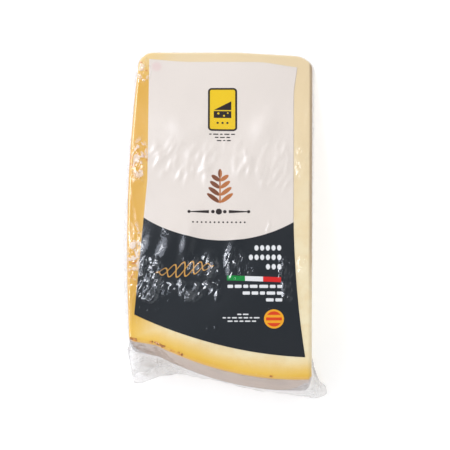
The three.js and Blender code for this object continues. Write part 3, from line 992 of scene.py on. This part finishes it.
# The free film round the wedge. x and r name an outline point, reachX and reachY how far the film's
# edge stands out from the wedge's foot there, and rise how far up the wall the film leaves it.
skirt = {
    "stations": [
        (-20, 9.8, 0, 0.2, 0.24), (-45, 9.8, -0.3, 0.2, 0.24),
        (-51, 13, -1.6, 0.3, 0.3),  # a bunched ear by the tip
        (-54, 30, -1.2, 0, 0.3), (-57, 60, -1.6, 0, 0.24), (-58.6, 98, -2.8, 0, 0.24),
        (-59.1, 130, -3.4, 0, 0.24), (-58.8, 176, -3.2, 0, 0.3), (-58.3, 190, -1.4, -2, 0.5),
        (-58, 194, -1.2, -10, 0.75), (-57.6, 195.6, -0.2, -19, 0.93),  # the loose flap's corner
        (-56, 197, -0.6, -19.6, 0.9), (-50.5, 197.5, 0, -18, 0.6), (-47, 198.5, 0, -15.8, 0.45),
        (-41, 200, 0, -12.4, 0.25), (-36, 202, 0, -9.2, 0.2), (-31, 204.2, 0, -6.2, 0.2),
        (-26, 206.3, 0, -3.5, 0.2), (-17.5, 211.4, 0, -2.6, 0.2), (-3, 215.8, 0, -0.3, 0.2),
        (6, 217.9, 0, -0.7, 0.2), (30, 221.4, 0, -1.6, 0.3), (42, 221.8, 2, -2.6, 0.7),
        (47, 221.7, 4.5, -3.7, 0.93), (49.8, 221, 9, -4.7, 0.93),  # the ear at the rim's right end
        (50.7, 217, 12, -5.4, 0.93), (50.8, 212, 10.6, -5.7, 0.9), (50.8, 208, 7, -7.3, 0.8),
        (50.9, 204, 3.5, -6, 0.6), (51, 198, 1.6, -2, 0.4), (51.6, 176, 1.4, 0, 0.24),
        (53, 110, 1.2, 0, 0.24), (54, 40, 0.9, 0, 0.24), (50, 20, 0.6, 0.2, 0.24),
        (38, 13, 0.3, 0.2, 0.24),
    ],
    "stepsRound": 1000,
    "stepsOut": 26,
    "rootDepth": 0.5,
    "standOff": 0.4,
    "edgeShare": 0.06,  # the edge's height, as a share of the wedge's height there
    "lowest": 1.3,
    "flare": 1.8,  # the film hugs the wall first and then swings out
    "thickness": 0.2,
    "rimLoose": 0.3,
    "rimFrom": (190.0, 198.0),
    "looseAt": 8.0,  # the reach at which the film is fully folded
    "milkyAt": 7.0,
    "liesAt": 14.0,  # and at which it lies down
    "foldHeight": 2.4,
    "foldSize": (9.0, 9.0, 40.0),
    "crumpleHeight": 0.9,
    "crumpleSize": (4.0, 3.2, 12.0),
}


def footOutline(count):  # evenly spaced points round the wedge's outline
    side = np.linspace(-1, 1, 400, endpoint=False)
    edge = np.ones_like(side)
    a = np.concatenate([side, edge, -side, -edge])
    b = np.concatenate([-edge, side, edge, -side])
    x, r = planPoint(a, b, 0.0)
    gaps = np.hypot(np.diff(x, append=x[0]), np.diff(r, append=r[0]))
    run = np.concatenate([[0], np.cumsum(gaps)])
    wanted = np.linspace(0, run[-1], count, endpoint=False)
    return [np.interp(wanted, run, np.append(line, line[0])) for line in (x, r)]


def skirtReach(x, r):  # the reach and rise at every outline point, run from station to station
    placeX, placeR, *known = np.array(skirt["stations"]).T
    stops = [np.argmin(np.hypot(x - atX, r - atR)) for atX, atR in zip(placeX, placeR)]
    return [np.interp(np.arange(len(x)), stops, column, period=len(x)) for column in known]


def ridges(places, sizes, seed):  # a sharp-crested field between 0 and 1
    field = []
    for place in places / np.array(sizes):
        field.append(1.0 - abs(noise.fractal(Vector(place) + Vector((seed, 0.0, 0.0)), 0.9, 2.1, 1)) * 2.0)
    return np.clip(np.array(field), 0.0, 1.0)


def skirtPiece(material):
    x, r = footOutline(skirt["stepsRound"])
    reachX, reachY, rise = skirtReach(x, r)
    alongX = np.roll(x, -1) - np.roll(x, 1)
    alongR = np.roll(r, -1) - np.roll(r, 1)
    outX = alongR / np.hypot(alongX, alongR)
    outY = alongX / np.hypot(alongX, alongR)
    fullHeight = r * math.sin(wheel["wedgeAngle"])
    rootZ = np.maximum(skirt["lowest"] + 0.5, fullHeight * rise)
    edgeZ = np.maximum(skirt["lowest"], fullHeight * skirt["edgeShare"])
    length = np.hypot(reachX, reachY)
    onRim = eased(r, *skirt["rimFrom"])
    loose = np.maximum(np.minimum(1.0, length / skirt["looseAt"]), skirt["rimLoose"] * onRim)
    rows = []
    for share in np.linspace(0, 1, skirt["stepsOut"]):
        z = blend(rootZ, edgeZ, share)
        wallR = r - wheel["footInset"] * onRim * (1.0 - z / fullHeight)
        wallX, wallY, _ = wheelPoint(x, wallR, np.arcsin(z / wallR))
        swing = share ** skirt["flare"]
        stand = blend(-skirt["rootDepth"], skirt["standOff"], eased(share, 0.0, 0.15))
        atX = wallX + reachX * swing + outX * stand
        atY = wallY + reachY * swing + outY * stand
        plain = np.stack([atX, atY, z], axis=-1)
        fold = ridges(plain, skirt["foldSize"], 3.0) * skirt["foldHeight"]
        fine = ridges(plain, skirt["crumpleSize"], 9.0) * skirt["crumpleHeight"]
        bend = (fold + fine) * loose * eased(share, 0.05, 0.4)
        flat = np.minimum(1.0, length / skirt["liesAt"]) * share  # 0 where the film hangs, 1 where it lies
        plain[:, 0] += outX * bend * (1.0 - flat)
        plain[:, 1] += outY * bend * (1.0 - flat)
        plain[:, 2] = np.maximum(skirt["lowest"], plain[:, 2] + bend * flat * 1.3)
        rows.append(plain)
    faces = gridFaces(len(rows), len(x), True)
    piece = sheetPiece("bag_skirt", np.concatenate(rows), faces, material, skirt["thickness"], 0.0)
    freed = eased(np.linspace(0, 1, skirt["stepsOut"]), 0.0, 0.45)
    standing = np.clip(length / skirt["milkyAt"], 0.35, 1.0)
    marks = piece.data.attributes.new("loose", "FLOAT", "POINT")
    marks.data.foreach_set("value", np.outer(freed, standing).ravel())
    return piece


def skinOver(piece, made):  # raises the film over the label with its folds, and marks its crumples
    mesh = piece.data
    places = np.zeros(len(mesh.vertices) * 3)
    mesh.vertices.foreach_get("co", places)
    places = places.reshape(-1, 3)
    x, y, up = places.T / mm
    fromAxis = wheel["axisY"] - y
    angle = wheel["wedgeAngle"]
    r = fromAxis * math.cos(angle) + up * math.sin(angle)
    off = up * math.cos(angle) - fromAxis * math.sin(angle)  # height above the cut face's plane
    near = eased(off, *folds["onFace"])
    lift = near * (foldHeight(x, r, made) + label["underFilm"] + label["lift"])
    places[:, 1] += lift * math.sin(angle) * mm
    places[:, 2] += lift * math.cos(angle) * mm
    mesh.vertices.foreach_set("co", places.ravel())
    mesh.update()
    onRim = eased(np.hypot(fromAxis, up) - rimRadiusAt(x), *folds["nearRim"]) * (1.0 - near)
    for name in ("crumpled", "cloudy", "dull"):
        layer = mesh.attributes.new(name, "FLOAT", "POINT")
        share = clusterShare(x, r, folds[name]) * near + folds["onRim"][name] * onRim
        layer.data.foreach_set("value", share)


studio = {
    "cameraHeight": 1190.0,
    "focalPixels": 1903.8,  # focal length in pixels of a frame 450 wide
    "frameWide": 450.0,
    "sensor": 36.0,
    "floorBelow": 0.4,
    "aim": (0.0, 0.0, 0.03),
    "lights": {  # place, width, power and colour
        "key": ((-0.55, 0.85, 0.95), 0.34, 4.4, (1.0, 0.99, 0.98)),
        "soft": ((-0.84, 0.93, 1.0), 1.05, 9.0, (0.87, 0.905, 1.0)),
    },
    "roomLight": 0.88,
    "roomDark": 0.12,
    "mirroredNorth": 0.643,  # the way that the label mirrors towards the camera
    "mirroredUp": 0.766,
    "darkFrom": 0.76,
    "floorGlow": 0.37,
}


def studioCamera():
    data = bpy.data.cameras.new("camera")
    data.sensor_width = studio["sensor"]
    data.lens = studio["focalPixels"] / studio["frameWide"] * studio["sensor"]
    data.clip_end = 20.0
    camera = placed("camera", data)
    camera.location = (0.0, 0.0, studio["cameraHeight"] * mm)
    bpy.context.scene.camera = camera


def areaLight(name, place, width, power, colour):
    data = bpy.data.lights.new(name, "AREA")
    data.shape = "SQUARE"
    data.size = width
    data.energy = power
    data.color = colour
    light = placed(name, data)
    light.location = place
    direction = Vector(studio["aim"]) - light.location
    light.rotation_euler = direction.to_track_quat("-Z", "Y").to_euler()


def studioLights():
    world = bpy.data.worlds.new("softRoom")
    world.use_nodes = True
    tree = world.node_tree
    way = source(tree, "ShaderNodeTexCoord", "Generated")
    _, north, up = splitXyz(way)
    mirrored = north * studio["mirroredNorth"] + up * studio["mirroredUp"]
    level = blend(studio["roomLight"], studio["roomDark"], eased(mirrored, studio["darkFrom"], 1.0))
    background = tree.nodes["Background"]
    plug(background.inputs["Color"], joinXyz(level - 0.012, level, level * 0.985 + 0.025))
    bpy.context.scene.world = world
    for name, values in studio["lights"].items():
        areaLight(name + "Light", *values)


def studioFloor():
    material, tree, surface = newMaterial("paleFloor")
    cloud = addNoise(objectPlace(tree), 3.0)
    colour = mixColour(srgb(246, 246, 246), srgb(243, 243, 244), cloud)
    shader = node(
        tree, "ShaderNodeBsdfPrincipled", Base_Color=colour, Roughness=0.7,
        Emission_Color=(1.0, 1.0, 1.0, 1.0), Emission_Strength=studio["floorGlow"],
    )
    plug(surface, shader)
    half = 3.0
    z = -studio["floorBelow"] * mm
    mesh = bpy.data.meshes.new("floor")
    corners = [(-half, -half, z), (half, -half, z), (half, half, z), (-half, half, z)]
    mesh.from_pydata(corners, [], [(0, 1, 2, 3)])
    mesh.materials.append(material)
    placed("floor", mesh)


bpy.context.scene.view_settings.view_transform = "Standard"
studioCamera()
studioLights()
studioFloor()
print("stage ready")

madeFolds = {kind: foldList(kind) for kind in ("creases", "billows")}
wedge = wedgeTree()
cheesePiece = grown("cheese_wedge", wedge, cheese["shape"], cheeseMaterial())
crumbsPiece = crumbPiece(crumbMaterial())
print("cheese ready")
filmPiece = grown("bag_film", wedge, film["shape"], filmMaterial("clearFilm", film["tight"]))
skinOver(filmPiece, madeFolds)
skirtFilm = skirtPiece(filmMaterial("looseFilm", film["loose"]))
print("film ready")
labelPiece = labelSheet(madeFolds, labelMaterial())
print("label ready")

for piece, slot, solidNode in (
    (cheesePiece, "cheese", "bagged_wedge"),
    (crumbsPiece, "cheese", "bagged_wedge"),
    (filmPiece, "film", "bagged_wedge"),
    (skirtFilm, "film", "bagged_wedge"),
    (labelPiece, "label", "label"),
):
    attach(piece, "root")
    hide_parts(solidNode)
